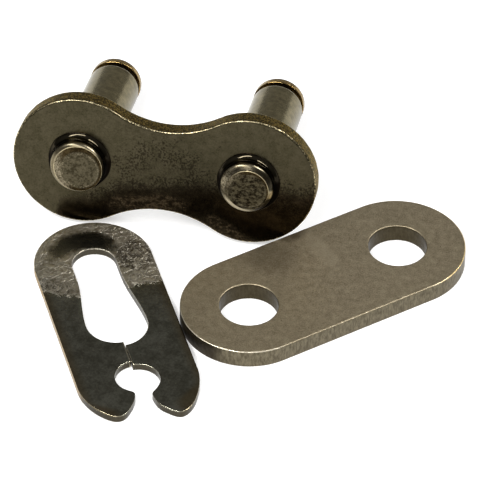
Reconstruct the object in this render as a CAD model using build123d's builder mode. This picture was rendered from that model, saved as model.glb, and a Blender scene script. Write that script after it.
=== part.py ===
from build123d import *
from math import acos, asin, atan2, cos, degrees, hypot, radians, sin, sqrt, tan
import os

# A connecting link for half-inch roller chain, taken apart: the outer plate with its two
# riveted pins leans on the pin ends, with the loose cover plate and the spring clip laid flat
# in front of it. X runs from the left pin to the right one, Y back along the pins, Z up.

# Driving dimensions in millimetres and degrees
pitch = 12.7
plate_thickness = 1.45
plate_height = 10.03
waist_height = 6.53
plate_edge_break = 0.12

cover_thickness = 1.45
cover_height = 10.02
cover_edge_break = 0.1
cover_hole_break = 0.08
cover_pin_clearance = 0.165

inner_link_room = 9.65
pin_diameter = 3.96
hole_mouth_rounding = 0.42
groove_diameter = 3.08
groove_clearance = 0.08
tip_length = 0.47
tip_rounding = 0.2

head_side_length = 1.03
head_chamfer_width = 0.28
head_chamfer_height = 0.14
head_disc_radius = 1.33
head_disc_rise = 0.06

clip_thickness = 0.6
clip_width = 8.8
clip_nose_web = 2.93
clip_seat_clearance = 0.04
clip_nose_clearance = 0.11
clip_neck_length = 1.35
clip_bulge_radius = 2.22
clip_slit_gap = 0.12
clip_seat_draw = 0.42
clip_mouth_gap = 1.2
clip_lead_angle = 28.0
clip_hook_rounding = 0.22
clip_edge_break = 0.05
left_tip_rounding = 0.7
right_tip_rounding = 0.45
right_prong_advance = 0.35

# How the loose pieces lie round the pin link
cover_turn = 40.79
clip_turn = 26.2
touch_gap = 0.08
nose_gap = 0.1

# Sizes that follow from the driving ones
plate_radius = plate_height / 2
cover_radius = cover_height / 2
pin_radius = pin_diameter / 2
groove_radius = groove_diameter / 2
cover_hole_radius = pin_radius + cover_pin_clearance
groove_start = plate_thickness + inner_link_room + cover_thickness
groove_end = groove_start + clip_thickness + groove_clearance
pin_end = groove_end + tip_length
head_top = head_side_length + head_chamfer_height + head_disc_rise


# The pin link leans back until the rounded pin ends meet the floor with the plate's lower edge
rise = plate_radius - (pin_radius - tip_rounding)
run = pin_end - tip_rounding - plate_thickness
lean = atan2(rise, run) - asin(tip_rounding / hypot(rise, run))
link_height = plate_radius * cos(lean) + plate_thickness * sin(lean)

# The cover plate's far side stops short of the right lobe, at the height of its own top face
lobe_angle = acos((link_height - cover_thickness) / (plate_radius * cos(lean)))
lobe_point = Vector(
    pitch / 2 + plate_radius * sin(lobe_angle),
    -plate_radius * cos(lobe_angle) * sin(lean),
)
cover_along = Vector(cos(radians(cover_turn)), sin(radians(cover_turn)))
cover_across = Vector(-sin(radians(cover_turn)), cos(radians(cover_turn)))
cover_middle = lobe_point - cover_across * (touch_gap + cover_radius)
cover_left_hole = cover_middle - cover_along * (pitch / 2)
cover_right_hole = cover_middle + cover_along * (pitch / 2)

# The clip's nose stops in front of the left lobe, and its side stops at the cover plate's end
clip_radius = clip_width / 2
clip_right = Vector(cos(radians(clip_turn)), sin(radians(clip_turn)))
nose_y = -plate_radius * sin(lean) - nose_gap - clip_radius
side_reach = clip_radius + touch_gap + cover_radius
nose_x = (cover_left_hole.dot(clip_right) - side_reach - nose_y * clip_right.Y) / clip_right.X

# The clip's own outline, about the centre of its round nose, with the fork towards -Y
nose_seat_radius = groove_radius + clip_nose_clearance
fork_seat_radius = groove_radius + clip_seat_clearance
nose_seat_y = clip_radius - clip_nose_web - nose_seat_radius
neck_y = nose_seat_y - clip_neck_length
bulge_y = nose_seat_y - pitch / 2
prongs = ((-1, 0.0, left_tip_rounding), (1, right_prong_advance, right_tip_rounding))

with BuildSketch() as clip_outline:
    for side, advance, tip_radius in prongs:
        fork_seat_y = nose_seat_y - (pitch - clip_seat_draw) - advance
        prong_bulge_y = bulge_y - advance
        third = (neck_y - prong_bulge_y) / 3
        hook_depth = sqrt(fork_seat_radius**2 - (clip_mouth_gap / 2) ** 2)
        mouth_flare = clip_mouth_gap / 2 + clip_radius * tan(radians(clip_lead_angle))
        with BuildSketch(mode=Mode.PRIVATE) as prong:
            # Blank with round ends, cut to this prong's side of the middle
            with Locations((0, fork_seat_y / 2)):
                SlotCenterToCenter(-fork_seat_y, clip_width, rotation=90)
            with Locations((side * clip_radius, fork_seat_y / 2)):
                Rectangle(clip_width, clip_width - 2 * fork_seat_y, mode=Mode.INTERSECT)
            # Half of the keyhole slot: round nose end, narrow neck and wider bulge
            with BuildLine():
                Line((0, nose_seat_y + nose_seat_radius), (0, prong_bulge_y - clip_bulge_radius))
                RadiusArc(
                    (0, prong_bulge_y - clip_bulge_radius),
                    (side * clip_bulge_radius, prong_bulge_y),
                    -side * clip_bulge_radius,
                )
                Bezier(
                    (side * clip_bulge_radius, prong_bulge_y),
                    (side * clip_bulge_radius, prong_bulge_y + third),
                    (side * nose_seat_radius, neck_y - third),
                    (side * nose_seat_radius, neck_y),
                )
                Line((side * nose_seat_radius, neck_y), (side * nose_seat_radius, nose_seat_y))
                RadiusArc(
                    (side * nose_seat_radius, nose_seat_y),
                    (0, nose_seat_y + nose_seat_radius),
                    -side * nose_seat_radius,
                )
            make_face(mode=Mode.SUBTRACT)
            # Slit between the tongues, seat for the pin's groove, and the flared mouth
            with Locations((0, prong_bulge_y)):
                Rectangle(
                    clip_slit_gap,
                    prong_bulge_y - fork_seat_y,
                    align=(Align.CENTER, Align.MAX),
                    mode=Mode.SUBTRACT,
                )
            with Locations((0, fork_seat_y)):
                Circle(fork_seat_radius, mode=Mode.SUBTRACT)
            with BuildLine():
                Polyline(
                    (0, fork_seat_y - hook_depth),
                    (side * clip_mouth_gap / 2, fork_seat_y - hook_depth),
                    (side * mouth_flare, fork_seat_y - hook_depth - clip_radius),
                    (0, fork_seat_y - hook_depth - clip_radius),
                    close=True,
                )
            make_face(mode=Mode.SUBTRACT)
            tip = prong.vertices().sort_by(Axis.Y)[0]
            fillet(tip, tip_radius)
            hook = prong.vertices().filter_by(
                lambda corner: abs(abs(corner.X) - clip_mouth_gap / 2) < clip_slit_gap / 10
                and corner.Y < fork_seat_y
            )
            fillet(hook, clip_hook_rounding)
        add(prong.sketch)

# The origin is on the floor, under the middle of the three pieces
clip_spread = Plane((nose_x, nose_y, 0), x_dir=clip_right).from_local_coords(clip_outline.sketch)
clip_box = clip_spread.bounding_box()
pin_back = (pin_radius - tip_rounding) * sin(lean) + (pin_end - tip_rounding) * cos(lean)
left_end = min(-pitch / 2 - plate_radius, clip_box.min.X)
right_end = max(pitch / 2 + plate_radius, cover_right_hole.X + cover_radius)
front_end = min(clip_box.min.Y, cover_left_hole.Y - cover_radius)
back_end = max(pin_back + tip_rounding, cover_right_hole.Y + cover_radius)
middle = Vector((left_end + right_end) / 2, (front_end + back_end) / 2)

link_face = Plane(
    Vector(0, 0, link_height) - middle,
    x_dir=(1, 0, 0),
    z_dir=(0, -cos(lean), sin(lean)),
)
cover_base = Plane(cover_middle - middle, x_dir=cover_along, z_dir=(0, 0, 1))
clip_base = Plane(Vector(nose_x, nose_y) - middle, x_dir=clip_right, z_dir=(0, 0, 1))

os.makedirs("parts", exist_ok=True)

# Outer plate: a waisted blank whose waist arcs run into the two lobes without a corner
waist = waist_height / 2
waist_radius = (pitch**2 / 4 + waist**2 - plate_radius**2) / (2 * (plate_radius - waist))
waist_share = waist_radius / (waist_radius + plate_radius)
join_x = pitch / 2 * waist_share
join_y = (waist + waist_radius) * (1 - waist_share)

with BuildPart() as pin_plate:
    with BuildSketch(link_face.offset(-plate_thickness)):
        with BuildLine():
            ThreePointArc((-join_x, join_y), (0, waist), (join_x, join_y))
            ThreePointArc((join_x, join_y), (pitch / 2 + plate_radius, 0), (join_x, -join_y))
            ThreePointArc((join_x, -join_y), (0, -waist), (-join_x, -join_y))
            ThreePointArc((-join_x, -join_y), (-pitch / 2 - plate_radius, 0), (-join_x, join_y))
        make_face()
        with GridLocations(pitch, 1, 2, 1):
            Circle(pin_radius, mode=Mode.SUBTRACT)
    extrude(amount=plate_thickness)
    outer_face = pin_plate.faces().sort_by(Axis(link_face.origin, link_face.z_dir))[-1]
    fillet(outer_face.inner_wires().edges(), hole_mouth_rounding)
    outer_face = pin_plate.faces().sort_by(Axis(link_face.origin, link_face.z_dir))[-1]
    chamfer(outer_face.outer_wire().edges(), plate_edge_break)
pin_plate.part.label = "pin_plate"
export_step(pin_plate.part, "parts/pin_plate.step")

# Pins: a riveted head in front of the plate, a plain shank, and a groove for the clip at the end
for pin_name, pin_x in (("left_pin", -pitch / 2), ("right_pin", pitch / 2)):
    section = Plane(
        link_face.from_local_coords((pin_x, 0, 0)),
        x_dir=link_face.x_dir,
        z_dir=-link_face.y_dir,
    )
    with BuildPart() as pin:
        with BuildSketch(section) as pin_section:
            with BuildLine():
                Polyline(
                    (0, head_top),
                    (head_disc_radius, head_top),
                    (pin_radius - head_chamfer_width, head_top - head_disc_rise),
                    (pin_radius, head_side_length),
                    (pin_radius, -groove_start),
                    (groove_radius, -groove_start),
                    (groove_radius, -groove_end),
                    (pin_radius, -groove_end),
                    (pin_radius, -pin_end),
                    (0, -pin_end),
                    close=True,
                )
            make_face()
            end_corner = pin_section.vertices().group_by(Axis.Y)[0].sort_by(Axis.X)[-1]
            fillet(end_corner, tip_rounding)
        revolve(axis=Axis(section.origin, section.y_dir))
    pin.part.label = pin_name
    export_step(pin.part, f"parts/{pin_name}.step")

# Cover plate: straight-sided, with a clearance hole for each pin
with BuildPart() as cover_plate:
    with BuildSketch(cover_base):
        SlotCenterToCenter(pitch, cover_height)
        with GridLocations(pitch, 1, 2, 1):
            Circle(cover_hole_radius, mode=Mode.SUBTRACT)
    extrude(amount=cover_thickness)
    top_face = cover_plate.faces().sort_by(Axis.Z)[-1]
    chamfer(top_face.inner_wires().edges(), cover_hole_break)
    top_face = cover_plate.faces().sort_by(Axis.Z)[-1]
    chamfer(top_face.outer_wire().edges(), cover_edge_break)
cover_plate.part.label = "cover_plate"
export_step(cover_plate.part, "parts/cover_plate.step")

# Spring clip: one flat stamping, closed at the nose and open at the fork
with BuildPart() as spring_clip:
    with BuildSketch(clip_base):
        add(clip_outline.sketch)
    extrude(amount=clip_thickness)
    chamfer(spring_clip.faces().sort_by(Axis.Z)[-1].edges(), clip_edge_break)
spring_clip.part.label = "spring_clip"
export_step(spring_clip.part, "parts/spring_clip.step")

print("lean of the pin link, degrees", round(degrees(lean), 3))
print("middle of the layout", middle)
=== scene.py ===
import math

import bmesh
import bpy
from mathutils import Matrix, Vector
from mathutils.geometry import interpolate_bezier, tessellate_polygon


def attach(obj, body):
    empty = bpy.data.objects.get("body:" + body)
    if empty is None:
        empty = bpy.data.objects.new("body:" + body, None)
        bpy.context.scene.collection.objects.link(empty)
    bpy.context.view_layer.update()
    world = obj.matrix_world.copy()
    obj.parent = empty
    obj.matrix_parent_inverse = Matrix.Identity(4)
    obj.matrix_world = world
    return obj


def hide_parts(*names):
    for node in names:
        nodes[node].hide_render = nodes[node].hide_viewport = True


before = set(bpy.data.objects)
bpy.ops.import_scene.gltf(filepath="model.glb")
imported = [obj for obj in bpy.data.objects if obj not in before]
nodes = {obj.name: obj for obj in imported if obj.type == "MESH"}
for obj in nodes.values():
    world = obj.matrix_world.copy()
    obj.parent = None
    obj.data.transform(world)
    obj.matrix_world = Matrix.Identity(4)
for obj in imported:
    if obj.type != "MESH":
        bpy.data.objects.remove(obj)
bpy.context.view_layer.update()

MM = 0.001


# Where the pieces lie, as in the frame

link_lean = math.radians(14.109)
link_middle = Vector((-5.64997, 3.75833, 5.21718))
link_right = Vector((1, 0, 0))
link_up = Vector((0.0, math.sin(link_lean), math.cos(link_lean)))
link_out = link_right.cross(link_up)
cover_turn = math.radians(40.79)
cover_middle = Vector((7.19733, -1.04224, 1.45))
cover_right = Vector((math.cos(cover_turn), math.sin(cover_turn), 0))
cover_up = Vector((-math.sin(cover_turn), math.cos(cover_turn), 0))
clip_turn = math.radians(26.2)
clip_nose = Vector((-9.77459, -1.96417, 0.6))
clip_right = Vector((math.cos(clip_turn), math.sin(clip_turn), 0))
clip_up = Vector((-math.sin(clip_turn), math.cos(clip_turn), 0))
flat_out = Vector((0, 0, 1))


# Sizes in millimetres; from the link plate's front face a pin's head counts out and its groove back

half_pitch = 6.35
plate_thickness = 1.45
clip_thickness = 0.6
cover_hole_radius = 2.145
pin_radius = 1.98
pin_end = 13.80
groove_start = 12.46
groove_end = 13.14
groove_radius = 1.54
disc_height = 1.215
rim_low = 0.9
neck_top = 0.5
left_ridge = 1.80
right_ridge = 1.56
face_margin = 0.07
tip_rounding = 0.14
plate_hole_radius = 1.985
mouth_rounding = 0.42
collar_radius = 2.36
collar_foot_start = 2.34
collar_foot_end = 2.0
collar_sink = 0.012

# The clip's prongs, counted from its nose: rubbed round below prong_hooks, bulging by (place, reach, push)
prong_hooks = -13.4
left_mouth_bulge = ((-0.9, -14.8), 1.1, (0.25, -0.05))
right_mouth_bulge = ((0.9, -15.5), 1.1, (-0.4, -0.2))
right_tip_bulge = ((2.7, -16.3), 1.5, (0.1, -0.25))

# The slit between the clip's tongues: its upper end, its edges' reach and the share that stays open
slit_top = -8.5
slit_side = 0.065
slit_share = 0.45

# How finely the meshes are drawn, and the turn that makes a true corner
round_steps = 144
edge_pace = 0.11
clip_edge_pace = 0.09
disc_pace = 0.05
rim_pace = 0.04
corner_turn = math.radians(48)


# Camera

camera_aim = Vector((0.2276, 3.0992, 0.0)) * MM
camera_turn = math.radians(10.01)
camera_height = math.radians(42.22)
camera_roll = math.radians(0.547)
camera_distance = 301.52 * MM

towards_camera = Vector((
    math.sin(camera_turn) * math.cos(camera_height),
    -math.cos(camera_turn) * math.cos(camera_height),
    math.sin(camera_height),
))
level_right = (-towards_camera).cross(Vector((0, 0, 1))).normalized()
level_up = level_right.cross(-towards_camera)
camera_right = math.cos(camera_roll) * level_right + math.sin(camera_roll) * level_up
camera_up = math.cos(camera_roll) * level_up - math.sin(camera_roll) * level_right
camera_data = bpy.data.cameras.new("camera")
camera_data.sensor_width = 36.0
camera_data.lens = 304.70
camera_data.clip_start = 0.01
camera_data.clip_end = 20.0
camera = bpy.data.objects.new("camera", camera_data)
bpy.context.scene.collection.objects.link(camera)
camera_axes = Matrix((camera_right, camera_up, towards_camera)).transposed().to_4x4()
camera_axes.translation = camera_aim + towards_camera * camera_distance
camera.matrix_world = camera_axes
bpy.context.scene.camera = camera


# Node recipes: the arithmetic that the finishes and the shapings share

class Reading:
    """What comes out of one node of a recipe. Arithmetic on it adds Math nodes."""

    def __init__(self, recipe, socket):
        self.recipe = recipe
        self.socket = socket

    def sum(self, operation, *numbers):
        values = dict(enumerate(numbers))
        return self.recipe.node("ShaderNodeMath", {"operation": operation}, values)

    def __add__(self, other):
        return self.sum("ADD", self, other)

    def __radd__(self, other):
        return self.sum("ADD", other, self)

    def __sub__(self, other):
        return self.sum("SUBTRACT", self, other)

    def __rsub__(self, other):
        return self.sum("SUBTRACT", other, self)

    def __mul__(self, other):
        return self.sum("MULTIPLY", self, other)

    def __rmul__(self, other):
        return self.sum("MULTIPLY", other, self)

    def __truediv__(self, other):
        return self.sum("DIVIDE", self, other)

    def __rtruediv__(self, other):
        return self.sum("DIVIDE", other, self)

    def __pow__(self, other):
        return self.sum("POWER", self, other)

    def __abs__(self):
        return self.sum("ABSOLUTE", self)

    def most(self, other):
        return self.sum("MAXIMUM", self, other)

    def least(self, other):
        return self.sum("MINIMUM", self, other)


class Recipe:
    """A node tree, made node by node."""

    def __init__(self, tree):
        self.tree = tree

    def node(self, kind, settings=None, values=None, out=None):
        """A node of one kind: its settings first, then the values or links of its sockets."""
        made = self.tree.nodes.new(kind)
        for name, setting in (settings or {}).items():
            if name == "stops":
                self.set_stops(made.color_ramp, setting)
            else:
                setattr(made, name, setting)
        for name, value in (values or {}).items():
            if isinstance(name, int):
                socket = made.inputs[name]
            else:
                socket = next(s for s in made.inputs if s.name == name and s.enabled)
            if isinstance(value, Reading):
                self.tree.links.new(value.socket, socket)
            else:
                socket.default_value = value
        shown = [s for s in made.outputs if s.enabled and out in (None, s.name)]
        return Reading(self, shown[0]) if shown else None

    def set_stops(self, ramp, stops):
        """Gives a colour ramp its (position, colour) stops."""
        while len(ramp.elements) < len(stops):
            ramp.elements.new(1.0)
        for element, (position, colour) in zip(ramp.elements, stops):
            element.position = position
            element.color = paint(colour)

    def step(self, value, low, high, to_low=0.0, to_high=1.0):
        """A soft step from to_low to to_high while value goes from low to high."""
        values = {"Value": value, "From Min": low, "From Max": high, "To Min": to_low, "To Max": to_high}
        return self.node("ShaderNodeMapRange", {"interpolation_type": "SMOOTHSTEP"}, values)

    def fade(self, value, low, high):
        """1 while value is under low, and softly down to 0 at high."""
        return self.step(value, low, high, 1.0, 0.0)

    def vector_sum(self, operation, first, second, out=None):
        return self.node("ShaderNodeVectorMath", {"operation": operation}, {0: first, 1: second}, out)


class Finish(Recipe):
    """One material of the link, with the nodes that its recipe asks for."""

    def __init__(self, name):
        self.material = bpy.data.materials.new(name)
        self.material.use_nodes = True
        super().__init__(self.material.node_tree)
        self.tree.nodes.clear()
        spot = self.node("ShaderNodeTexCoord", out="Object")
        self.place = self.vector_sum("MULTIPLY", spot, (1 / MM,) * 3)

    def mark(self, name, out="Fac"):
        """A mark that the piece's own mesh carries."""
        return self.node("ShaderNodeAttribute", {"attribute_name": name}, out=out)

    def across(self, direction, start=(0, 0, 0)):
        """Distance of a point from start along a direction, in millimetres."""
        moved = self.vector_sum("SUBTRACT", self.place, tuple(start))
        return self.vector_sum("DOT_PRODUCT", moved, tuple(direction), "Value")

    def vector(self, x, y, z):
        return self.node("ShaderNodeCombineXYZ", None, {0: x, 1: y, 2: z})

    def on_plane(self, start, right, up):
        """The place of a point in a plane: (right, up, 0), in millimetres."""
        return self.vector(self.across(right, start), self.across(up, start), 0.0)

    def parts(self, vector):
        """The three numbers of a vector."""
        split = self.node("ShaderNodeSeparateXYZ", None, {0: vector}).socket.node
        return [Reading(self, part) for part in split.outputs]

    def stretched(self, place, scale, turn=0.0):
        """A place turned in its plane and stretched for a grain."""
        values = {"Vector": place, "Rotation": (0, 0, turn), "Scale": scale}
        return self.node("ShaderNodeMapping", None, values)

    def clouds(self, scale, detail=3.0, roughness=0.55, place=None, bend=0.0):
        """Soft patches from 0 to 1; scale is in patches per millimetre."""
        values = {"Vector": place or self.place, "Scale": scale, "Detail": detail,
                  "Roughness": roughness, "Distortion": bend}
        return self.node("ShaderNodeTexNoise", None, values)

    def blend(self, mask, under, over):
        """Colour under where mask is 0, over where it is 1."""
        values = {"Factor": mask, "A": paint(under), "B": paint(over)}
        return self.node("ShaderNodeMix", {"data_type": "RGBA", "clamp_factor": True}, values)

    def tones(self, noise, low, high, dark, light):
        """A colour between dark and light, as noise goes from low to high."""
        return self.blend(self.step(noise, low, high), dark, light)

    def shaded(self, colour, factor):
        """A colour made brighter or darker by a factor."""
        grey = self.node("ShaderNodeCombineColor", None, {0: factor, 1: factor, 2: factor})
        values = {"Factor": 1.0, "A": paint(colour), "B": grey}
        return self.node("ShaderNodeMix", {"data_type": "RGBA", "blend_type": "MULTIPLY"}, values)

    def oval(self, right, up, middle, size):
        """0 in the middle of an oval, 1 on its edge; size is half its length and half its width."""
        return ((right - middle[0]) / size[0]) ** 2 + ((up - middle[1]) / size[1]) ** 2

    def cut_wall(self, depth, thickness, start, end):
        """1 on the cut wall of a pressed piece, and down to 0 between two depths under each face."""
        half = thickness / 2
        return self.fade(abs(depth - half), half - end, half - start)

    def relief(self, height, depth, under=None):
        """Relief; height from 0 to 1 stands for a depth in millimetres."""
        values = {"Height": height, "Distance": depth * MM, "Strength": 1.0}
        if under is not None:
            values["Normal"] = under
        return self.node("ShaderNodeBump", None, values)

    def close(self, values):
        """Puts the shader on and gives back the finished material."""
        shader = self.node("ShaderNodeBsdfPrincipled", None, values)
        self.node("ShaderNodeOutputMaterial", None, {"Surface": shader})
        return self.material

    def metallic(self, colour, rough, bumps, glancing=(255, 255, 255)):
        """Closes the recipe as a metallic surface; glancing is its tint at a flat angle."""
        return self.close({"Base Color": colour, "Metallic": 1.0, "Roughness": rough, "Normal": bumps,
                           "Specular Tint": paint(glancing)})


def linear(value):
    """An 8-bit screen value as a linear one."""
    share = value / 255.0
    return share / 12.92 if share <= 0.04045 else ((share + 0.055) / 1.055) ** 2.4


def paint(colour):
    """An 8-bit screen colour as a linear one. A reading passes through, and a number makes a level."""
    if isinstance(colour, Reading):
        return colour
    if isinstance(colour, float):
        return (colour, colour, colour, 1.0)
    return tuple(linear(c) for c in colour) + (1.0,)


# Shapings: Geometry Nodes for what presses and hammers leave in the metal

class Shaping(Recipe):
    """A Geometry Nodes tree with named inputs, put on a piece and then made plain mesh."""

    def __init__(self, name, inputs):
        super().__init__(bpy.data.node_groups.new(name, "GeometryNodeTree"))
        self.keys = {}
        face = self.tree.interface
        face.new_socket("Geometry", in_out="INPUT", socket_type="NodeSocketGeometry")
        face.new_socket("Geometry", in_out="OUTPUT", socket_type="NodeSocketGeometry")
        for label, kind in inputs.items():
            made = face.new_socket(label, in_out="INPUT", socket_type=kind)
            self.keys[label] = made.identifier
        self.start = self.tree.nodes.new("NodeGroupInput")

    def given(self, label):
        """What the piece gives for one of the tree's inputs."""
        return Reading(self, self.start.outputs[label])

    def mark(self, name, data_type="FLOAT"):
        """A mark that the piece's own mesh carries."""
        return self.node("GeometryNodeInputNamedAttribute", {"data_type": data_type}, {"Name": name})

    def end(self, geometry):
        """Gives the geometry its finish and sends it out of the tree."""
        values = {"Geometry": self.node("GeometryNodeRealizeInstances", None, {0: geometry}),
                  "Material": self.given("Finish")}
        done = self.node("GeometryNodeSetMaterial", None, values)
        last = self.tree.nodes.new("NodeGroupOutput")
        self.tree.links.new(done.socket, last.inputs[0])
        return self

    def moved(self, direction, distance):
        """The start geometry with each point moved by a distance along a direction."""
        offset = self.node("ShaderNodeVectorMath", {"operation": "SCALE"},
                           {"Vector": direction, "Scale": distance})
        values = {"Geometry": self.given("Geometry"), "Offset": offset}
        return self.node("GeometryNodeSetPosition", None, values)

    def put_on(self, piece, settings):
        """Shapes a piece and leaves it a plain mesh."""
        shaper = piece.modifiers.new(self.tree.name, "NODES")
        shaper.node_group = self.tree
        for label, value in settings.items():
            shaper[self.keys[label]] = value
        graph = bpy.context.evaluated_depsgraph_get()
        shaped = bpy.data.meshes.new_from_object(
            piece.evaluated_get(graph), preserve_all_data_layers=True, depsgraph=graph)
        piece.modifiers.remove(shaper)
        piece.data = shaped
        return piece


def pressed_edge_shaping():
    """Uneven edges and walls, as the press leaves them."""
    inputs = {"Depth": "NodeSocketFloat", "Patch Size": "NodeSocketFloat", "Seed": "NodeSocketInt",
              "Finish": "NodeSocketMaterial"}
    s = Shaping("pressed edge", inputs)
    values = {"Vector": s.mark("wall_place", "FLOAT_VECTOR"), "W": s.given("Seed"),
              "Scale": 1.0 / s.given("Patch Size"), "Detail": 3.0}
    patches = s.node("ShaderNodeTexNoise", {"noise_dimensions": "4D"}, values)
    push = (patches - 0.5) * 2.0 * s.given("Depth") * s.mark("uneven") * MM
    return s.end(s.moved(s.node("GeometryNodeInputNormal"), push))


def hammered_head_shaping():
    """Hammer dents in the riveted end of a pin, pressed in along the pin."""
    inputs = {"Depth": "NodeSocketFloat", "Dent Size": "NodeSocketFloat", "Along": "NodeSocketVector",
              "Seed": "NodeSocketInt", "Finish": "NodeSocketMaterial"}
    s = Shaping("hammered head", inputs)
    fine = 1.0 / s.given("Dent Size")
    spot = {"Vector": s.mark("pin_place", "FLOAT_VECTOR"), "W": s.given("Seed")}
    cells = s.node("ShaderNodeTexVoronoi", {"voronoi_dimensions": "4D", "feature": "SMOOTH_F1"},
                   {**spot, "Scale": fine, "Smoothness": 0.6})
    clouds = s.node("ShaderNodeTexNoise", {"noise_dimensions": "4D"},
                    {**spot, "Scale": fine * 1.7, "Detail": 4.0, "Roughness": 0.65})
    dent = (cells * 0.6 + clouds * 0.8 - 0.2) * s.given("Depth") * s.mark("hammered") * -MM
    return s.end(s.moved(s.given("Along"), dent))


# Meshes of the pressed pieces and the pins

def outline(node, start, right, up, depth):
    """The longest outline of a pressed piece at a depth under its face, as (right, up) points."""
    out = right.cross(up)
    merged = bmesh.new()
    merged.from_mesh(node.data)
    bmesh.ops.remove_doubles(merged, verts=merged.verts, dist=1e-7)
    level = [v for v in merged.verts if abs((v.co / MM - start).dot(out) + depth) < 0.003]
    near = set(level)
    best = []
    seen = set()
    for first in level:
        if first in seen:
            continue
        loop = [first]
        seen.add(first)
        while True:
            beside = [e.other_vert(loop[-1]) for e in loop[-1].link_edges]
            onward = [v for v in beside if v in near and v not in seen]
            if not onward:
                break
            onward.sort(key=lambda v: (v.co - loop[-1].co).length)
            loop.append(onward[0])
            seen.add(onward[0])
        if len(loop) > len(best):
            best = loop
    points = [Vector(((v.co / MM - start).dot(right), (v.co / MM - start).dot(up))) for v in best]
    merged.free()
    return run_left(points)


def run_left(points, hole=False):
    """A loop that has the metal on its left: outlines run one way and holes the other."""
    area = sum(a.cross(b) for a, b in zip(points, points[1:] + points[:1]))
    if (area < 0) != hole:
        points = points[::-1]
    return points


def eased(points, pace):
    """The loop as smooth curves through its points, at about an even pace, with its true corners kept."""
    count = len(points)
    arriving, leaving = [], []
    for i, point in enumerate(points):
        before = point - points[i - 1]
        after = points[(i + 1) % count] - point
        a, b = before.length, after.length
        turn = before.angle(after)
        if turn > corner_turn:
            arriving.append(before / a)
            leaving.append(after / b)
            continue
        if a > 3 * b:
            heading = before / a
        elif b > 3 * a:
            heading = after / b
        else:
            heading = (before / a * b + after / b * a).normalized()
        arriving.append(heading)
        leaving.append(heading)
    made = []
    for i, point in enumerate(points):
        onward = (i + 1) % count
        chord = points[onward] - point
        steps = max(1, round(chord.length / pace))
        for k in range(steps):
            t = k / steps
            made.append(
                point * (2 * t ** 3 - 3 * t ** 2 + 1)
                + leaving[i] * chord.length * (t ** 3 - 2 * t ** 2 + t)
                + points[onward] * (3 * t ** 2 - 2 * t ** 3)
                + arriving[onward] * chord.length * (t ** 3 - t ** 2)
            )
    return made


def rubbed_round(points, below, rounds):
    """The loop with its corners rubbed round in the part that lies below a height."""
    for _ in range(rounds):
        count = len(points)
        points = [p if p.y > below else p * 0.5 + (points[i - 1] + points[(i + 1) % count]) * 0.25
                  for i, p in enumerate(points)]
    return points


def bulged(points, place, reach, push):
    """The loop pushed aside round a place; the push fades with the distance from it."""
    place, push = Vector(place), Vector(push)
    return [p + push * math.exp(-((p - place).length / reach) ** 2) for p in points]


def ring(middle, radius, pace):
    """A round hole's loop, with the metal on its left."""
    count = round(2 * math.pi * radius / pace)
    turns = [2 * math.pi * i / count for i in range(count)]
    return run_left([middle + Vector((math.cos(t), math.sin(t))) * radius for t in turns], hole=True)


def rounding(radius, steps):
    """The way from a face into a wall, round a quarter turn: (inset, depth)."""
    turns = [math.radians(90 * k / steps) for k in range(steps + 1)]
    return [(radius * (1 - math.sin(t)), radius * (1 - math.cos(t))) for t in turns]


def wall_rows(thickness, front, back, steps=6, levels=9):
    """Rows down a pressed wall: (inset, depth, share of edge wear and painted highlight, how uneven)."""
    rows = [(front + face_margin, 0.0, 0.0, 0.0)]
    for k, (inset, depth) in enumerate(rounding(front, steps)):
        wear_and_highlight_share = math.sin(math.radians(180 * k / steps)) ** 0.5 if 0 < k < steps else 0.3
        rows.append((inset, depth, wear_and_highlight_share, k / steps))
    for k in range(1, levels):
        rows.append((0.0, front + (thickness - front - back) * k / levels, 0.0, 1.0))
    for k, (inset, depth) in reversed(list(enumerate(rounding(back, steps)))):
        rows.append((inset, thickness - depth, 0.4, k / steps))
    rows.append((back + face_margin, thickness, 0.0, 0.0))
    return rows


def mouth_rows():
    """Rows down a pin hole in the link plate: the mouth is rounded, the pin fills the rest."""
    rows = [(mouth_rounding + face_margin, 0.0)] + rounding(mouth_rounding, 10)
    rows += [(0.0, plate_thickness - 0.05), (0.05, plate_thickness)]
    return [(inset, depth, 0.0, 0.0) for inset, depth in rows]


def away_from_metal(points):
    """The way out of the metal at each point of a loop, longer at a corner so that walls stay parallel."""
    made = []
    for i, point in enumerate(points):
        before = (point - points[i - 1]).normalized()
        after = (points[(i + 1) % len(points)] - point).normalized()
        first, second = Vector((before.y, -before.x)), Vector((after.y, -after.x))
        made.append((first + second) / max(0.4, 1 + first.dot(second)))
    return made


def pressed_piece(name, loops, start, right, up, finish):
    """A flat piece with rounded, uneven edges. Each loop comes with the rows down its wall."""
    out = right.cross(up)
    places, faces, worn, uneven, along = [], [], [], [], []
    fronts, backs, front_first, back_first = [], [], [], []
    for points, rows in loops:
        count = len(points)
        outward = away_from_metal(points)
        base = len(places)
        for inset, depth, wear_and_highlight_share, rough in rows:
            travelled = 0.0
            for i, point in enumerate(points):
                flat = point - outward[i] * inset
                places.append((start + right * flat.x + up * flat.y - out * depth) * MM)
                worn.append(wear_and_highlight_share)
                uneven.append(rough)
                along.extend((travelled, depth, 0.0))
                travelled += (points[(i + 1) % count] - point).length
        last = base + (len(rows) - 1) * count
        for a in range(base, last, count):
            b = a + count
            faces.extend((a + i, b + i, b + (i + 1) % count, a + (i + 1) % count) for i in range(count))
        fronts.append([p - n * rows[0][0] for p, n in zip(points, outward)])
        backs.append([p - n * rows[-1][0] for p, n in zip(points, outward)])
        front_first.extend(range(base, base + count))
        back_first.extend(range(last, last + count))
    for flats, places_of in ((fronts, front_first), (backs, back_first)):
        for corners in tessellate_polygon([[p.to_3d() for p in flat] for flat in flats]):
            faces.append([places_of[corner] for corner in corners])
    piece = plain_piece(name, places, faces)
    piece.data.materials.append(finish)
    face_outwards(piece.data)
    add_mark(piece, "worn", worn)
    add_mark(piece, "uneven", uneven)
    add_mark(piece, "wall_place", along, "FLOAT_VECTOR")
    return piece


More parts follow.
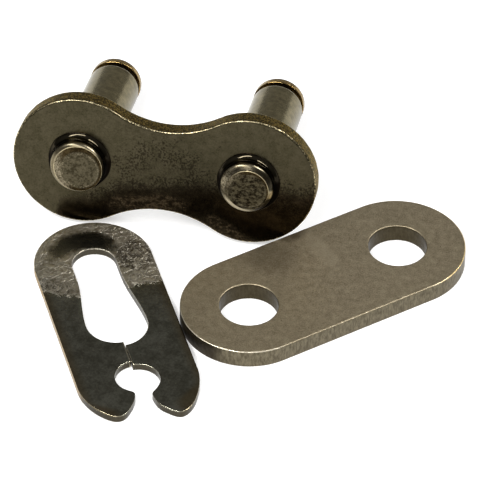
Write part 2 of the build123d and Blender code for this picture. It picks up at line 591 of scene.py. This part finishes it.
def plain_piece(name, places, faces):
    """An object of a mesh whose place is in its points."""
    mesh = bpy.data.meshes.new(name)
    mesh.from_pydata(places, [], faces)
    mesh.update()
    mesh.polygons.foreach_set("use_smooth", [True] * len(mesh.polygons))
    piece = bpy.data.objects.new(name, mesh)
    bpy.context.scene.collection.objects.link(piece)
    return piece


def face_outwards(mesh):
    """Turns all faces of a closed mesh outwards."""
    shell = bmesh.new()
    shell.from_mesh(mesh)
    bmesh.ops.recalc_face_normals(shell, faces=shell.faces)
    shell.to_mesh(mesh)
    shell.free()


def add_mark(piece, name, values, kind="FLOAT"):
    """Gives each point of a piece a value or a vector that its finish and its shaping can read."""
    made = piece.data.attributes.new(name, kind, "POINT")
    made.data.foreach_set("vector" if kind == "FLOAT_VECTOR" else "value", values)


def spun_piece(name, section, middle, finish, closed=False, warp=None):
    """A round piece: (radius, height) points turned about a pin's line. A closed section makes a ring."""
    places, own, rows, faces = [], [], [], []
    turns = [2 * math.pi * i / round_steps for i in range(round_steps)]
    for radius, height in section:
        rows.append((radius, len(places)))
        spots = [Vector((math.cos(t), math.sin(t))) * radius for t in turns] if radius else [Vector((0, 0))]
        for spot in spots:
            moved = warp(spot, radius, height) if warp else spot
            places.append((middle + link_right * moved.x + link_up * moved.y + link_out * height) * MM)
            own.extend((moved.x, moved.y, height))
    for (radius, a), (next_radius, b) in zip(rows, rows[1:] + (rows[:1] if closed else [])):
        for i in range(round_steps):
            j = (i + 1) % round_steps
            if radius == 0.0:
                faces.append((a, b + i, b + j))
            elif next_radius == 0.0:
                faces.append((a + i, b, a + j))
            else:
                faces.append((a + i, b + i, b + j, a + j))
    piece = plain_piece(name, places, faces)
    piece.data.materials.append(finish)
    add_mark(piece, "pin_place", own, "FLOAT_VECTOR")
    return piece


# Finishes

def link_plate_steel():
    """Blackened, tumbled plate steel, its lower side glossy with old oil and painted dark as a reflection of
    the clip and the cover plate.
    """
    f = Finish("link plate steel")
    right = f.across(link_right, link_middle)
    height = f.across(link_up, link_middle)
    depth = f.across(-link_out, link_middle)
    fine = f.clouds(7.0, 5.0, 0.75)
    patches = f.clouds(1.5, 4.0, 0.6)
    broad = f.clouds(0.22, 3.0, 0.5)
    grain = fine * 0.6 + patches * 0.4
    dry = f.tones(grain, 0.35, 0.65, (55, 51, 36), (77, 71, 55))
    dry = f.shaded(dry, 0.8 + 0.4 * broad)

    # The upper edge of the oil and of its painted dark reflection, as (right, height) places; a colour ramp
    # holds it, scaled from 0 to 1
    oil_reflection_edge = ((-8.4, -6.0), (-7.7, -3.5), (-6.9, -3.1), (-4.7, -2.8), (-3.2, -1.65), (-0.2, -1.35),
                (2.4, -0.8), (5.0, -0.7), (8.7, -0.35), (10.2, -0.6), (11.5, 0.1))
    ramp_left, ramp_length = -10, 25
    ramp_low, ramp_height = -7, 8
    stops = [((x - ramp_left) / ramp_length, (y - ramp_low) / ramp_height) for x, y in oil_reflection_edge]
    ramp = f.node("ShaderNodeValToRGB", {"stops": stops}, {"Fac": (right - ramp_left) / ramp_length})
    above_oil_reflection = height - (ramp * ramp_height + ramp_low)
    ragged = f.clouds(1.1, 6.0, 0.72) * 1.5 + f.clouds(4.0, 3.0, 0.6) * 0.5 - 1.0
    oil_and_dark_reflection = f.fade(above_oil_reflection + ragged, -0.8, 0.6) * f.fade(depth, 0.03, 0.1)

    # Lighter streaks: the oil is rubbed thin at the waist, and on the right lobe a painted reflection of the
    # floor
    waist_rub = f.oval(right, height - 0.12 * right, (-1.0, -2.75), (3.0, 0.85))
    lobe_floor_reflection = f.oval(right, height + 0.5 * (right - 4.9), (4.9, -4.1), (1.3, 0.6))
    rubbed = f.fade(waist_rub.least(lobe_floor_reflection) + 3.2 * (f.clouds(1.4, 6.0, 0.75) - 0.5), 0.3, 1.5)
    flat = f.on_plane(link_middle, link_right, link_up)
    streaky = f.clouds(1.7, 6.0, 0.75, f.stretched(flat, (1.0, 1.9, 1.0), math.radians(-24)), 0.5)
    streaks = f.tones(streaky, 0.43, 0.56, (28, 22, 13), (74, 63, 47))
    # The painted dark reflection in the oil, lighter towards the right
    dark = f.tones(patches, 0.3, 0.7, (28, 23, 15), (43, 36, 25))
    dark = f.shaded(dark, 1 + 0.5 * f.step(right, 2.0, 8.0))
    colour = f.blend(oil_and_dark_reflection, dry, f.blend(rubbed * 0.85, dark, streaks))

    # Dark specks, thickest in the middle and just above the oil
    soiled = f.fade(f.oval(right, height, (-0.2, 0.3), (4.6, 2.6)), 0.2, 1.3)
    soiled = soiled.most(f.step(above_oil_reflection, 0.3, 1.4, 1.15, 0.0) * f.step(right, -7.5, -5.0))
    specks = f.step(f.clouds(6.5, 2.0, 0.5) + 0.13 * soiled, 0.6, 0.7)
    specks = specks * f.step(f.clouds(0.9, 3.0, 0.6) + 0.18 * soiled, 0.52, 0.68)
    colour = f.blend(specks * 0.7, colour, (24, 19, 12))

    wall = f.cut_wall(depth, plate_thickness, 0.1, 0.18)
    crumbs = f.tones(f.clouds(8.0, 2.0, 0.6), 0.46, 0.62, (33, 25, 9), (124, 104, 56))
    colour = f.blend(wall, colour, crumbs)
    # A bright line along the rounded edge: partly wear, partly painted highlight
    worn = f.step(f.mark("worn") * (0.05 + 1.4 * f.clouds(8.0, 4.0, 0.75)), 0.68, 0.86)
    colour = f.blend(worn, colour, (206, 190, 150))
    rough = 0.3 + 0.3 * (grain - 0.5) - oil_and_dark_reflection * (0.15 - 0.2 * rubbed) + 0.2 * wall
    return f.metallic(colour, rough, f.relief(grain, 0.012), (248, 240, 216))


def pin_steel():
    """Ground pin steel; its riveted end is hammered and stained, with painted light and shade on its rim and
    trough, its neck dark with oil and its groove in painted shade.
    """
    f = Finish("pin steel")
    place = f.mark("pin_place", "Vector")
    x, y, height = f.parts(place)
    ring_radius = f.mark("ring_radius")
    battered = f.mark("battered")
    fine = f.clouds(9.0, 3.0, 0.65)
    mottle = f.clouds(2.2, 4.0, 0.6)

    # The hammered disc: evenly grained on the left pin, battered and cracked on the right one
    grained = mottle * 0.4 + f.clouds(5.0, 4.0, 0.75) * 0.6
    grained = f.tones(grained, 0.4, 0.6, (55, 50, 36), (93, 86, 68))
    dents = f.clouds(2.4, 6.0, 0.78, f.stretched(place, (1.0, 1.5, 1.0), 0.3))
    cracked = f.tones(dents, 0.4, 0.62, (22, 17, 9), (94, 87, 68))
    disc = f.blend(battered, grained, cracked)
    past_disc = ring_radius - (1.45 - 0.12 * battered) + 0.16 * (f.clouds(3.0, 4.0, 0.7) - 0.5)
    speckled = f.fade(abs(past_disc + 0.08), 0.0, 0.14) * f.step(fine, 0.5, 0.6)
    disc = f.blend(speckled * (0.6 - 0.4 * battered), disc, (160, 148, 122))

    # The trough round the disc: painted shade on top, and grain lit by painted light on its left
    leftward = f.step(x * -0.95 + y * (0.75 * battered - 0.35) + 1.2 * (mottle - 0.5), 0.6, 1.5)
    grainy = f.tones(fine, 0.38, 0.6, (74, 67, 50), (146, 136, 114))
    painted_shade_top = f.tones(fine * 0.5 + mottle * 0.5, 0.4, 0.6, (34, 26, 13), (70, 59, 38))
    trough = f.blend(leftward, painted_shade_top, grainy)
    foot = f.fade(x * 0.6 + y, -0.5, 0.6) * battered * (1 - leftward)
    end = f.blend(f.step(past_disc, 0.0, 0.08) * (1 - foot), disc, trough)

    # The rounded rim of the left pin gets painted light on its left, at its upper right and at its foot
    left_rim_painted_light = f.step(x, -1.6, 0.6, 1.3, 0.7) * f.step(y, 0.8, 1.7, 1.0, 0.6)
    left_rim_painted_light = left_rim_painted_light + f.step(x + y, 1.9, 2.5, 0.0, 0.9) + f.step(y, -1.9, -1.3, 0.25, 0.0)

    # That of the right pin gets painted light at its foot, a painted highlight along its upper edge and a
    # painted glint in a spot on its right
    upper_edge_highlight = f.step(abs(ring_radius - 1.91), 0.02, 0.07, 0.9, 0.0) * f.step(y - 0.3 * x, 1.0, 1.6)
    right_glint = f.step(abs(y + 0.2 * x - 0.1), 0.15, 0.45, 3.0, 0.0) * f.step(x, 1.2, 1.7)
    right_rim_painted_light = f.step(y + 0.45 * x, -1.8, -1.2, 1.5, 0.26) + upper_edge_highlight + right_glint
    turned = f.clouds(1.0, 3.0, 0.7, f.vector(ring_radius * 9.0, x * 0.25, y * 0.25))
    rim = f.tones(turned * 0.7 + fine * 0.3, 0.35, 0.65, (90, 82, 63), (138, 129, 108))
    rim = f.shaded(rim, left_rim_painted_light * (1 - battered) + right_rim_painted_light * battered)
    # On the right pin the rim's left side is grainy and lit by painted light
    left_grain = f.step(x * -0.9 + y * 0.3 + 0.8 * (mottle - 0.5), 1.0, 1.7)
    rim = f.blend(battered * left_grain, rim, grainy)
    ridge = left_ridge + (right_ridge - left_ridge) * battered
    on_rim = f.step(ring_radius - ridge, 0.0, 0.03)
    end = f.blend(on_rim, end, rim)
    # Bright ridge and rim lines, partly wear and partly painted highlight, brighter towards the upper right
    worn = 0.35 + 0.8 * f.clouds(2.0, 4.0, 0.7) + 0.35 * f.step(x * 0.7 + y, -0.3, 1.6) - 0.2 * battered
    end = f.blend(f.step(f.mark("worn") * worn, 0.5, 0.85), end, (226, 210, 168))

    # Along the pin: riveted end, neck dark with oil, ground shank, groove in painted shade, golden tip and
    # its dull flat end
    lines = f.clouds(1.0, 2.0, 0.5, f.vector(x * 0.4, y * 0.4, height * 11.0))
    shank = lines * 0.25 + mottle * 0.5 + fine * 0.25
    shank = f.tones(shank, 0.36, 0.64, (80, 73, 50), (116, 107, 80))
    neck = f.tones(fine, 0.3, 0.7, (46, 37, 22), (84, 72, 50))
    on_side = f.fade(height, 0.72, 0.84)
    colour = f.blend(on_side, end, f.blend(f.step(height, -1.6, -1.5), shank, neck))
    gold = f.tones(fine, 0.4, 0.6, (104, 80, 38), (160, 138, 92))
    dull = f.tones(turned * 0.6 + fine * 0.4, 0.35, 0.65, (46, 35, 20), (78, 63, 40))
    gold = f.blend(f.fade(height, 0.1 - pin_end, 0.3 - pin_end), gold, dull)
    groove_middle = 0.5 * (groove_start + groove_end)
    colour = f.blend(f.fade(height, -groove_middle - 0.1, -groove_middle), colour, gold)
    # Painted shade in the groove
    groove = f.fade(abs(height + groove_middle), 0.35, 0.37) * f.fade(ring_radius, 1.66, 1.78)
    colour = f.blend(groove, colour, (34, 28, 18))

    on_end = 1 - on_side
    rough = 0.12 + 0.04 * lines + on_end * (0.14 + 0.28 * (1 - on_rim) * fine)
    bumps = f.relief(lines * 0.2 + fine * 0.8, 0.004)
    hammered = turned * on_rim * 0.6 + dents * battered * (1 - on_rim)
    return f.metallic(colour, rough, f.relief(on_end * hammered, 0.022, bumps), (233, 232, 228))


def black_oil():
    """Old dark oil that stands round a pin's head: wet above the pin, only a stain beside it."""
    f = Finish("black oil")
    x, y = f.parts(f.mark("pin_place", "Vector"))[:2]
    swirl = f.clouds(1.2, 3.0, 0.6)
    wet = f.step(y + 0.4 * (swirl - 0.5), 0.1, 1.1)
    colour = f.blend(wet, (15, 11, 7), f.blend(swirl, (52, 47, 37), (62, 57, 46)))
    thin = f.step((x * x + y * y) ** 0.5, 2.2, 2.38)
    colour = f.blend(thin, colour, (22, 17, 10))
    rough = 0.07 + 0.35 * (1 - wet) + 0.1 * thin
    return f.metallic(colour, rough, f.relief(swirl, 0.01))


def cover_plate_steel():
    """Plain tumbled plate steel, matt and brown-grey."""
    f = Finish("cover plate steel")
    along = f.across(cover_right, cover_middle)
    beside = f.across(cover_up, cover_middle)
    depth = f.across(-flat_out, cover_middle)
    fine = f.clouds(9.0, 5.0, 0.75)
    patches = f.clouds(2.0, 4.0, 0.6)
    broad = f.clouds(0.25, 3.0, 0.5)
    grain = fine * 0.7 + patches * 0.3
    colour = f.tones(grain, 0.35, 0.65, (139, 126, 102), (176, 164, 138))
    colour = f.shaded(colour, 0.88 + 0.24 * broad)

    # Two darker patches by the link plate and a lighter one: (middle, size, share, colour)
    dark_and_light_patches = (((-2.4, 3.8), (1.9, 2.1), 0.36, (92, 81, 62)), ((0.3, 4.9), (1.1, 0.7), 0.6, (62, 52, 37)),
               ((1.2, 2.4), (0.8, 2.4), 0.3, (196, 184, 158)))
    for middle, size, share, tone in dark_and_light_patches:
        spot = f.oval(along, beside, middle, size) + 1.6 * (f.clouds(1.6, 5.0, 0.7) - 0.5)
        colour = f.blend(f.step(spot, 0.0, 1.6, share, 0.0), colour, tone)
    pits = f.step(f.clouds(6.0, 3.0, 0.6), 0.68, 0.74)
    colour = f.blend(pits * 0.6, colour, (60, 50, 36))

    # The sheared wall, dark by the clip and in the two bores
    wall = f.cut_wall(depth, plate_thickness, 0.02, 0.07)
    shear = f.clouds(1.0, 5.0, 0.7, f.stretched(f.mark("wall_place", "Vector"), (5.0, 1.5, 1.0)))
    sheared = f.tones(shear, 0.3, 0.7, (78, 71, 56), (117, 109, 90))
    sheared = f.blend(f.step(along, -10.9, -10.1, 0.85, 0.0), sheared, (44, 36, 24))
    from_hole = abs(along) - half_pitch
    bore = f.fade((from_hole * from_hole + beside * beside) ** 0.5, 2.3, 2.5)
    colour = f.blend(wall, colour, f.blend(bore * 0.8, sheared, (56, 49, 34)))

    # The bright edge, partly wear and partly painted highlight, is chipped along the straights and brighter
    # round the ends
    chipped = f.clouds(8.0, 4.0, 0.8)
    round_end = f.step(abs(along), 5.5, 7.6) * (1 - bore)
    worn = f.step(f.mark("worn") * (2.0 * chipped - 0.36 + 0.45 * round_end), 0.66, 0.9)
    bright = f.tones(along, 5.0, 9.0, (224, 214, 192), (228, 200, 140))
    colour = f.blend(worn, colour, f.blend(bore, bright, (166, 154, 126)))
    rough = 0.46 + 0.3 * (grain - 0.5) - 0.12 * worn
    return f.metallic(colour, rough, f.relief(grain * (1 - wall) + shear * wall * 0.6, 0.025))


def spring_steel():
    """Dark spring steel; at the nose a lighter wrinkled patch is painted as a reflection of the link plate's
    face.
    """
    f = Finish("spring steel")
    across = f.across(clip_right, clip_nose)
    along = f.across(clip_up, clip_nose)
    depth = f.across(-flat_out, clip_nose)
    fine = f.clouds(6.0, 4.0, 0.7)
    patches = f.clouds(0.9, 4.0, 0.6)
    plain_steel = f.tones(patches * 0.5 + fine * 0.5, 0.35, 0.65, (114, 112, 98), (158, 157, 143))
    scratch_place = f.stretched(f.on_plane(clip_nose, clip_right, clip_up), (3.0, 0.25, 1.0), math.radians(8))
    scratches = f.step(f.clouds(3.0, 4.0, 0.7, scratch_place), 0.6, 0.7)
    plain_steel = f.blend(scratches * 0.5, plain_steel, (182, 174, 152))
    near_tip = f.step(along, -15.8, -14.0, 1.8, 0.0)
    near_side = f.step(abs(across) + near_tip + 0.5 * (patches - 0.5), 3.5, 4.5)
    plain_steel = f.blend(near_side * 0.6, plain_steel, (128, 108, 70))

    # The painted reflection of the link plate ends higher on the left tongue than on the right one, and
    # creases most near its end
    bend = (across * -1 - 2.2).most(0.0)
    past_reflection = along + 3.3 - 0.5 * bend + 1.9 * (f.clouds(2.2, 6.0, 0.78) - 0.5)
    wrinkled_reflection = f.step(past_reflection, -0.12, 0.22)
    wrinkles = f.clouds(2.6, 5.0, 0.68, bend=0.35)
    creased_reflection = f.tones(wrinkles, 0.3, 0.7, (142, 136, 122), (200, 194, 180))
    creased_reflection = f.shaded(creased_reflection, 1 + 0.25 * f.step(across, -2.5, 1.0))
    ridges = f.fade(abs(f.clouds(1.9, 3.0, 0.6, bend=0.4) - 0.5), 0.0, 0.06)
    smooth = f.step(f.clouds(0.5, 2.0), 0.4, 0.6)
    low_side = f.step(past_reflection, 0.3, 2.6, 1.0, 0.25) * (0.4 + 0.6 * smooth)
    creased_reflection = f.blend(ridges * low_side * 0.9, creased_reflection, (58, 53, 44))
    spotted = f.fade(f.oval(across, along, (3.0, -0.2), (1.5, 1.9)) + 1.2 * (patches - 0.5), 0.5, 1.3)
    spotted = spotted * f.fade(abs(f.clouds(2.0, 4.0, 0.7, bend=0.9) - 0.52), 0.02, 0.07)
    creased_reflection = f.blend(spotted * 0.85, creased_reflection, (58, 52, 42))

    # A painted dark reflection bends round the nose
    turn = f.node("ShaderNodeMath", {"operation": "ARCTAN2"}, {0: along, 1: across})
    from_nose = (across * across + along * along) ** 0.5
    dark_reflection_blot = f.oval(turn, from_nose - 0.4 * (turn - 1.62), (1.62, 2.5), (1.12, 1.0))
    dark_reflection_blot = f.fade(dark_reflection_blot + 1.4 * (f.clouds(1.3, 6.0, 0.72) - 0.5), 0.3, 1.6)
    creased_reflection = f.blend(dark_reflection_blot, creased_reflection, (89, 89, 82))
    colour = f.blend(wrinkled_reflection, plain_steel, creased_reflection)

    wall = f.cut_wall(depth, clip_thickness, 0.035, 0.08)
    edge_face = f.blend(fine, (46, 42, 33), (80, 75, 63))
    golden = f.fade(across, -4.35, -3.9) * f.step(along, -14.0, -12.0)
    colour = f.blend(wall, colour, f.blend(golden, edge_face, (140, 110, 48)))

    # Bright edges, partly wear and partly painted highlight: brightest at the slit, dull on the prongs and
    # golden on the left side
    chipped = f.clouds(5.0, 5.0, 0.75)
    slit = f.fade(abs(across), 0.1, 0.16) * f.fade(along, -8.0, -7.6)
    worn = f.step(f.mark("worn") * (0.3 + 1.15 * chipped + 0.5 * slit), 0.72, 0.98)
    slit_edge = f.fade(abs(across + 0.09), 0.02, 0.07) * f.fade(along, -8.5, -8.3)
    worn = worn.most(slit_edge * f.step(along, -11.1, -10.9) * f.step(chipped, 0.35, 0.5))
    worn = worn * f.step(along, -12.5, -9.5, 0.65, 1.0)
    colour = f.blend(worn, colour, f.tones(across, -4.3, -3.6, (222, 190, 118), (226, 216, 190)))
    rough = 0.2 + 0.14 * (patches - 0.5) + wrinkled_reflection * (0.14 - 0.1 * dark_reflection_blot) + 0.1 * wall
    bumps = f.relief(fine * 0.1 + (wrinkles - ridges * 0.5) * wrinkled_reflection * (1 - 0.8 * dark_reflection_blot), 0.024)
    return f.metallic(colour, rough, bumps)


# The pieces

plate_finish = link_plate_steel()
pin_finish = pin_steel()
oil_finish = black_oil()
cover_finish = cover_plate_steel()
clip_finish = spring_steel()
pressed_edges = pressed_edge_shaping()
hammered_head = hammered_head_shaping()


def uneven(piece, depth, size, seed):
    """The pressed piece with uneven edges and walls, in patches of about one size."""
    return pressed_edges.put_on(piece, {"Depth": depth, "Patch Size": size, "Seed": seed,
                                        "Finish": piece.data.materials[0]})


def make_link_plate():
    """The leaning plate that the pins are riveted into."""
    edge = outline(nodes["pin_plate"], link_middle, link_right, link_up, depth=0.12)
    loops = [(eased(edge, edge_pace), wall_rows(plate_thickness, front=0.16, back=0.12))]
    for side in (-1, 1):
        hole = ring(Vector((side * half_pitch, 0.0)), plate_hole_radius, edge_pace)
        loops.append((hole, mouth_rows()))
    piece = pressed_piece("waisted_link_plate", loops, link_middle, link_right, link_up, plate_finish)
    return uneven(piece, depth=0.03, size=0.35, seed=3)


def make_cover_plate():
    """The loose plate that lies flat."""
    edge = outline(nodes["cover_plate"], cover_middle, cover_right, cover_up, depth=0.10)
    loops = [(eased(edge, edge_pace), wall_rows(plate_thickness, front=0.08, back=0.08))]
    for side in (-1, 1):
        hole = ring(Vector((side * half_pitch, 0.0)), cover_hole_radius, edge_pace)
        loops.append((hole, wall_rows(plate_thickness, front=0.10, back=0.08)))
    piece = pressed_piece("loose_cover_plate", loops, cover_middle, cover_right, cover_up, cover_finish)
    return uneven(piece, depth=0.03, size=0.3, seed=5)


def make_spring_clip():
    """The flat clip with its slit drawn narrow and its prongs rubbed round."""
    edge = outline(nodes["spring_clip"], clip_nose, clip_right, clip_up, depth=0.05)
    edge = eased(edge, clip_edge_pace)
    for point in edge:
        if abs(point.x) < slit_side and point.y < slit_top:
            point.x *= slit_share
    edge = rubbed_round(edge, prong_hooks, rounds=24)
    for place, reach, push in (left_mouth_bulge, right_mouth_bulge, right_tip_bulge):
        edge = bulged(edge, place, reach, push)
    rows = wall_rows(clip_thickness, front=0.05, back=0.05, steps=4, levels=5)
    piece = pressed_piece("spring_clip_pressing", [(edge, rows)], clip_nose, clip_right, clip_up, clip_finish)
    return uneven(piece, depth=0.012, size=0.3, seed=8)


def curve_through(points, pace):
    """A smooth line through a few (radius, height) points, at about an even pace."""
    spots = [Vector(point) for point in points]
    made = []
    for i, (start, end) in enumerate(zip(spots, spots[1:])):
        leaving = (end - spots[max(i - 1, 0)]) / 6
        arriving = (spots[min(i + 2, len(spots) - 1)] - start) / 6
        steps = max(1, round((end - start).length / pace))
        bend = interpolate_bezier(start, start + leaving, end - arriving, end, steps + 1)
        made.extend((spot.x, spot.y) for spot in bend[:-1])
    return made + [points[-1]]


# Riveted ends from the disc's edge outwards: (radius, height) of disc, trough, ridge and rounded rim
left_end = curve_through([(1.40, disc_height), (1.48, 1.186), (1.60, 1.165), (1.74, 1.176),
                          (left_ridge, 1.183), (1.85, 1.158), (1.94, 1.064), (pin_radius, 0.985),
                          (pin_radius, 0.76)], rim_pace)
right_end = curve_through([(1.28, disc_height), (1.34, 1.190), (1.43, 1.163), (1.53, 1.180),
                           (right_ridge, 1.180), (1.62, 1.155), (1.78, 1.064), (1.90, 0.966),
                           (1.972, 0.84), (1.981, 0.68)], rim_pace)


def pin_section(end):
    """The pin from the middle of its riveted end to the middle of its tip: (radius, height)."""
    disc_radius = end[0][0]
    count = round(disc_radius / disc_pace)
    section = [(disc_radius * k / count, disc_height) for k in range(count)] + end

    # Neck and shank
    section += [(pin_radius, height) for height in (0.6, 0.4, 0.2, 0.0, -0.6, -1.4, -1.5)]
    section += [(pin_radius, -1.5 - 0.5 * k) for k in range(1, 21)]

    # The groove, as insets from the pin's side and heights past the groove's near and far wall
    near_wall = ((0.0, 0.12), (0.0, 0.03), (0.01, 0.008), (0.04, 0.0), (0.08, 0.0), (0.38, 0.0))
    far_wall = ((0.38, 0.0), (0.10, 0.0), (0.06, 0.0), (0.01, -0.02), (0.0, -0.06), (0.0, -0.12))
    section += [(pin_radius - inset, past - groove_start) for inset, past in near_wall]
    section += [(groove_radius, -groove_start - 0.06), (groove_radius, -groove_end + 0.06)]
    section += [(pin_radius - inset, past - groove_end) for inset, past in far_wall]

    # The rounded tip
    section.append((pin_radius, tip_rounding + 0.06 - pin_end))
    section += [(pin_radius - inset, depth - pin_end) for depth, inset in rounding(tip_rounding, 6)]
    return section + [(radius, -pin_end) for radius in (1.78, 1.2, 0.6, 0.0)]


def make_pin(name, side, seed, end, ridge, battered, disc_offset, ridge_offset):
    """A pin; its hammered disc and its ridge lie off its middle by their offsets."""
    disc_radius = end[0][0]
    rim = max(end)[0]

    def warp(spot, radius, height):
        if height < neck_top:
            return spot
        if radius < ridge:
            share = min(1.0, (ridge - radius) / (ridge - disc_radius))
            return spot + ridge_offset.lerp(disc_offset, share)
        return spot + ridge_offset * max(0.0, min(1.0, (rim - radius) / (rim - ridge)))

    section = pin_section(end)
    middle = link_middle + link_right * (side * half_pitch)
    piece = spun_piece(name, section, middle, pin_finish, warp=warp)
    ring_radius, hammered, worn = [], [], []
    for radius, height in section:
        copies = round_steps if radius else 1
        on_end = height > neck_top
        on_disc = max(0.0, min(1.0, (disc_radius - radius) / 0.08)) if on_end else 0.0
        ridge_line = 1.0 - abs(radius - ridge) / (0.03 + 0.03 * battered) if on_end else 0.0
        rim_line = 1.0 - abs(radius - rim + 0.012) / 0.02 if height > rim_low else 0.0
        ring_radius.extend([radius] * copies)
        hammered.extend([on_disc] * copies)
        worn.extend([max(0.0, ridge_line, 0.8 * rim_line)] * copies)
    add_mark(piece, "ring_radius", ring_radius)
    add_mark(piece, "hammered", hammered)
    add_mark(piece, "worn", worn)
    add_mark(piece, "battered", [battered] * len(ring_radius))
    return hammered_head.put_on(piece, {"Depth": 0.03 + 0.05 * battered, "Dent Size": 0.5, "Seed": seed,
                                        "Along": tuple(link_out), "Finish": pin_finish})


def make_oil_collar(name, side, climb, seed):
    """Oil standing in the corner between a pin's head and the plate, from its outer edge round."""
    section = []
    for k in range(13):
        t = math.radians(90 * (1 - k / 12))
        inset = (collar_radius - plate_hole_radius) * math.sin(t)
        section.append((collar_radius - inset, climb * (1 - math.cos(t))))
    for k in range(1, 8):
        reach = collar_foot_start - (collar_foot_start - collar_foot_end) * k / 7
        past_mouth = plate_hole_radius + mouth_rounding - reach
        sunk = mouth_rounding - math.sqrt(max(0.0, mouth_rounding ** 2 - past_mouth ** 2))
        section.append((reach, -sunk - collar_sink))

    def warp(spot, radius, height):
        turn = math.atan2(spot.y, spot.x)
        share = max(0.0, (radius - collar_foot_end) / (collar_radius - collar_foot_end))
        wave = math.sin(3 * turn + seed) + 0.7 * math.sin(5 * turn + 2.1 * seed) + 0.4 * math.sin(11 * turn)
        return spot * (1 + 0.012 * wave * share)

    middle = link_middle + link_right * (side * half_pitch)
    return spun_piece(name, section, middle, oil_finish, closed=True, warp=warp)


link_plate = make_link_plate()
left_pin = make_pin("left_riveted_pin", -1, seed=4, end=left_end, ridge=left_ridge, battered=0.0,
                    disc_offset=Vector((0.32, -0.17)), ridge_offset=Vector((0.14, -0.05)))
right_pin = make_pin("right_riveted_pin", 1, seed=11, end=right_end, ridge=right_ridge, battered=1.0,
                     disc_offset=Vector((0.22, -0.16)), ridge_offset=Vector((0.12, -0.06)))

# Each piece with its slot and the CAD piece that it replaces; the oil has neither
pieces = [
    (link_plate, "link_plate_steel", "pin_plate"),
    (left_pin, "pin_steel", "left_pin"),
    (right_pin, "pin_steel", "right_pin"),
    (make_oil_collar("left_oil_collar", -1, climb=0.46, seed=1.0), None, None),
    (make_oil_collar("right_oil_collar", 1, climb=0.42, seed=2.4), None, None),
    (make_cover_plate(), "cover_plate_steel", "cover_plate"),
    (make_spring_clip(), "spring_steel", "spring_clip"),
]
for piece, slot, node in pieces:
    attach(piece, "root")
    if slot:
        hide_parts(node)
        nodes[node].data.materials.clear()
        nodes[node].data.materials.append(piece.data.materials[0])


# Floor and light

floor_reach = 2.0
floor_grey = (208, 208, 208)
floor_glow = 0.52
sky_top = (-0.08, -0.48, 0.87)

corners = [(x * floor_reach, y * floor_reach, 0) for x, y in ((-1, -1), (1, -1), (1, 1), (-1, 1))]
floor = plain_piece("floor", corners, [(0, 1, 2, 3)])
floor.data.materials.append(Finish("pale floor").close({
    "Base Color": paint(floor_grey), "Roughness": 0.9, "Emission Color": paint(1.0),
    "Emission Strength": floor_glow}))

sky = bpy.data.worlds.new("studio")
sky.use_nodes = True
bpy.context.scene.world = sky
sky.node_tree.nodes.clear()
room = Recipe(sky.node_tree)
facing = room.node("ShaderNodeTexCoord", out="Generated")
overhead = room.vector_sum("DOT_PRODUCT", facing, sky_top, "Value")
level = room.step(overhead, 0.1, 1.0, 0.11, 0.3) + room.step(overhead, -0.3, 0.1, 0.4, 0.0)
tone = room.node("ShaderNodeCombineColor", None, {0: level, 1: level * 0.99, 2: level * 0.95})
shine = room.node("ShaderNodeBackground", None, {"Color": tone, "Strength": 1.0})
room.node("ShaderNodeOutputWorld", None, {"Surface": shine})


def softbox(name, heading, distance, along, length, width, power):
    """A long soft light whose length runs towards a second heading, sizes in metres."""
    light = bpy.data.lights.new(name, "AREA")
    light.shape = "RECTANGLE"
    light.size = length
    light.size_y = width
    light.energy = power
    lamp = bpy.data.objects.new(name, light)
    bpy.context.scene.collection.objects.link(lamp)
    back = Vector(heading).normalized()
    run = Vector(along).normalized()
    run = (run - back * run.dot(back)).normalized()
    axes = Matrix((run, back.cross(run), back)).transposed().to_4x4()
    axes.translation = back * distance
    lamp.matrix_world = axes


softbox("front_left_softbox", heading=(-0.35, -0.5, 0.79), distance=0.6, along=(-0.62, -0.2, 0.75),
        length=0.46, width=0.12, power=4.0)
softbox("right_softbox", heading=(0.55, 0.2, 0.8), distance=0.6, along=(0.8, 0.3, 0.55),
        length=0.36, width=0.10, power=2.6)

bpy.context.scene.view_settings.view_transform = "Standard"
